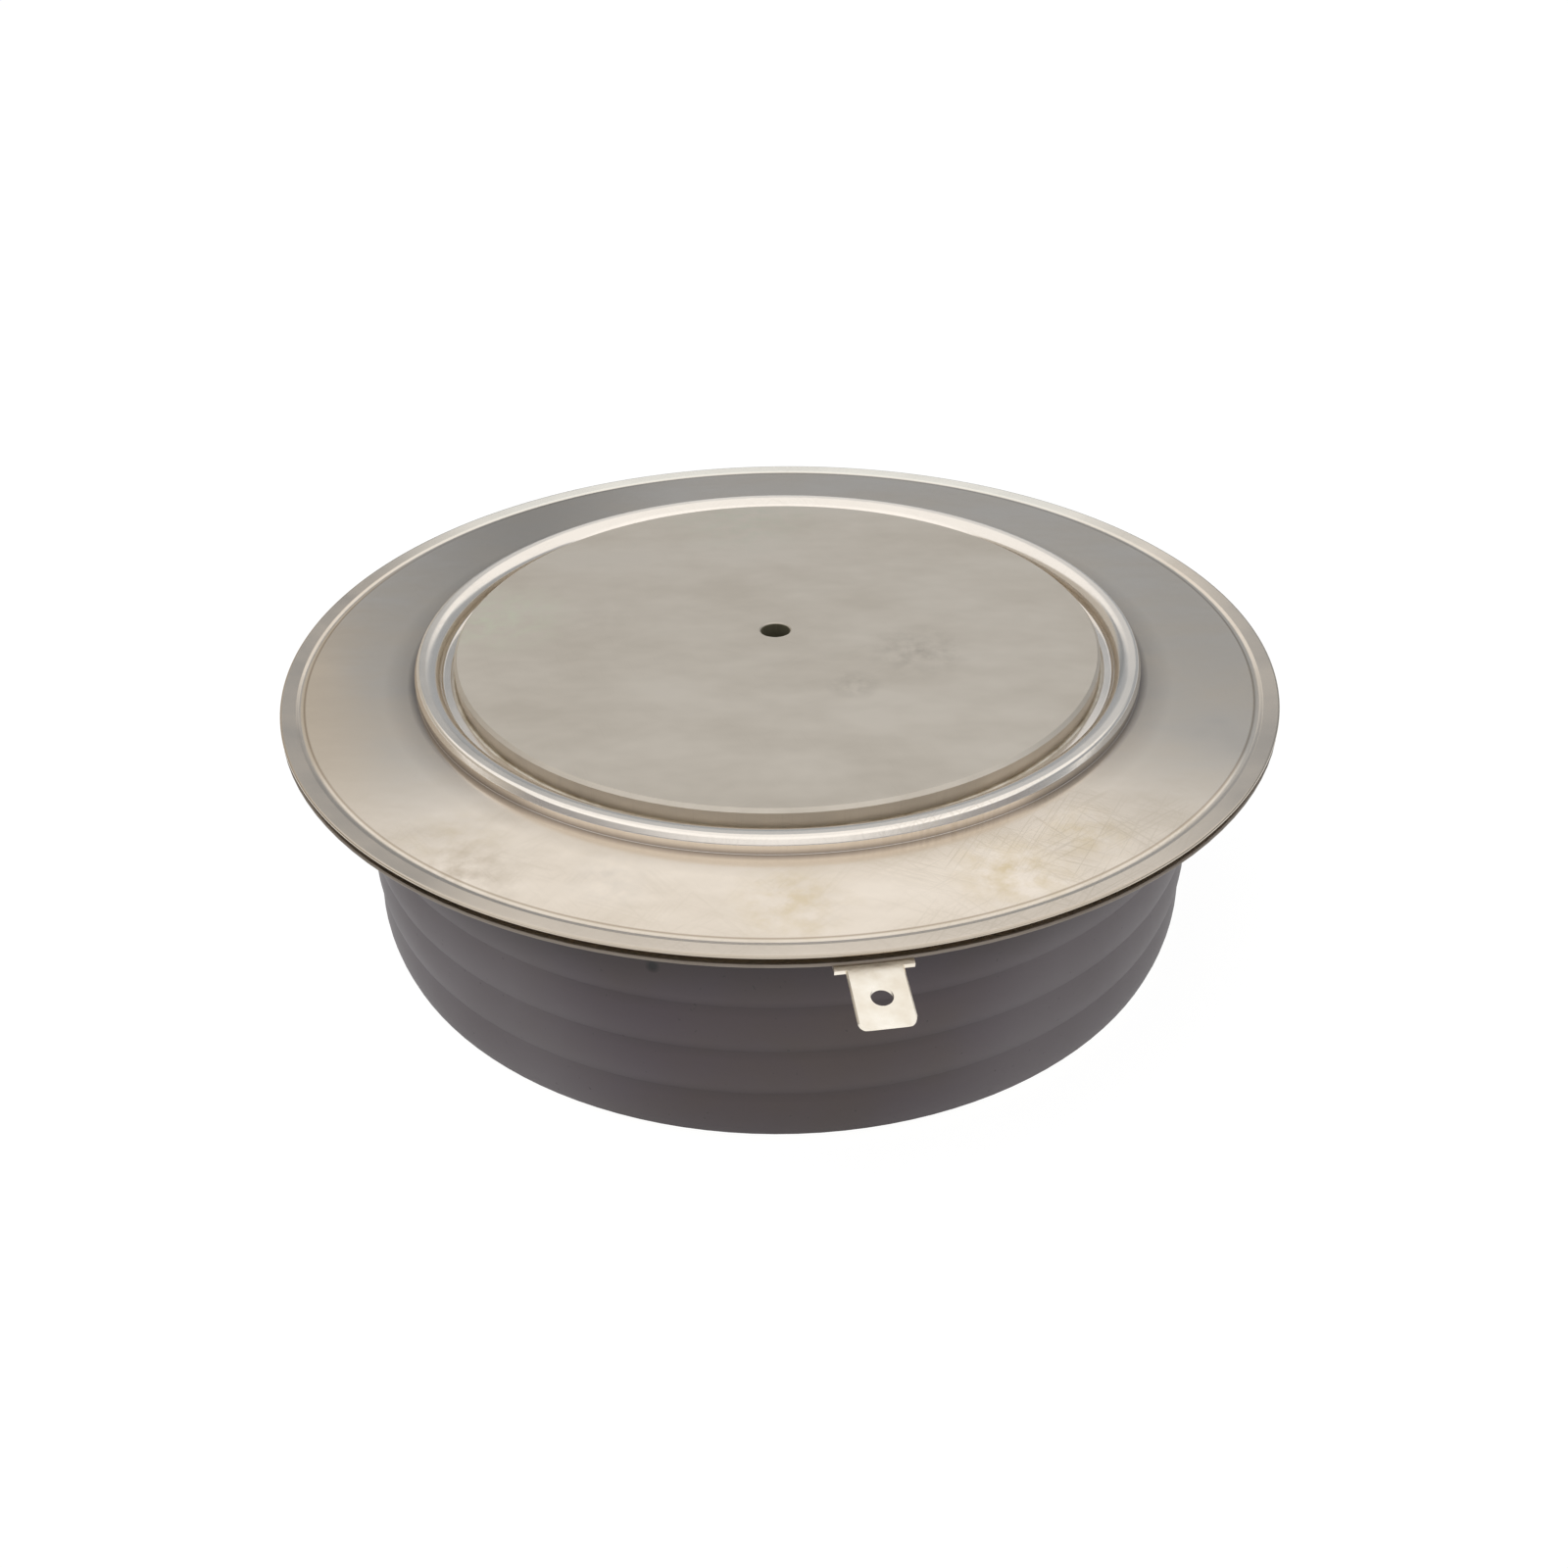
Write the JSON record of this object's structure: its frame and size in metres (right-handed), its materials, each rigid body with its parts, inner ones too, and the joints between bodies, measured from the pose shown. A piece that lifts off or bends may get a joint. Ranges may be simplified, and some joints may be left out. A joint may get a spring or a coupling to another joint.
{
  "type": "press-pack thyristor",
  "caption": "Disc-shaped press-pack thyristor: plated pole faces in a ribbed ceramic ring with a wide lid flange, a centring hole in each face, a cathode blade and a gate blade.",
  "frame": {"origin": "centre of the anode contact face, at the mouth of its centring hole", "axes": "+Z along the press axis, from the anode face to the cathode face; +Y from the centre to the gate terminal; the cathode blade stands near -Y"},
  "size_m": [0.12, 0.129, 0.035],
  "materials": {
    "nickel_plated_copper": "satin nickel plate on turned copper",
    "contact_face": "lapped nickel-plated contact face",
    "lid_sheet": "rolled and formed nickel-plated sheet, lightly scratched",
    "flange_sheet": "nickel-plated sheet",
    "glazed_alumina": "satin dark glaze",
    "blade_nickel": "bright nickel-plated blade",
    "tube_nickel": "nickel tube",
    "molybdenum": "ground molybdenum",
    "silver": "bright silver",
    "silicon": "polished silicon",
    "silicone_rubber": "matt cream rubber",
    "fluoroplastic": "waxy white plastic",
    "spring_steel": "drawn wire"
  },
  "bodies": {
    "root": {"anode_pole_piece": "nickel_plated_copper", "anode_flange": "flange_sheet", "ceramic_ring": "glazed_alumina", "weld_flange": "flange_sheet", "lid_flange": "lid_sheet", "cathode_pole_piece": "contact_face", "cathode_blade": "blade_nickel", "anode_silver_foil": "silver", "anode_molybdenum_disc": "molybdenum", "silicon_wafer": "silicon", "wafer_edge_seal": "silicone_rubber", "cathode_molybdenum_disc": "molybdenum", "cathode_silver_foil": "silver", "centring_ring": "fluoroplastic", "gate_cup": "fluoroplastic", "gate_spring": "spring_steel", "gate_pin": "silver", "gate_guide_washer": "fluoroplastic", "gate_lead": "silver", "gate_lead_sleeve": "fluoroplastic", "gate_tube": "tube_nickel", "gate_blade": "blade_nickel"}
  },
  "joints": []
}
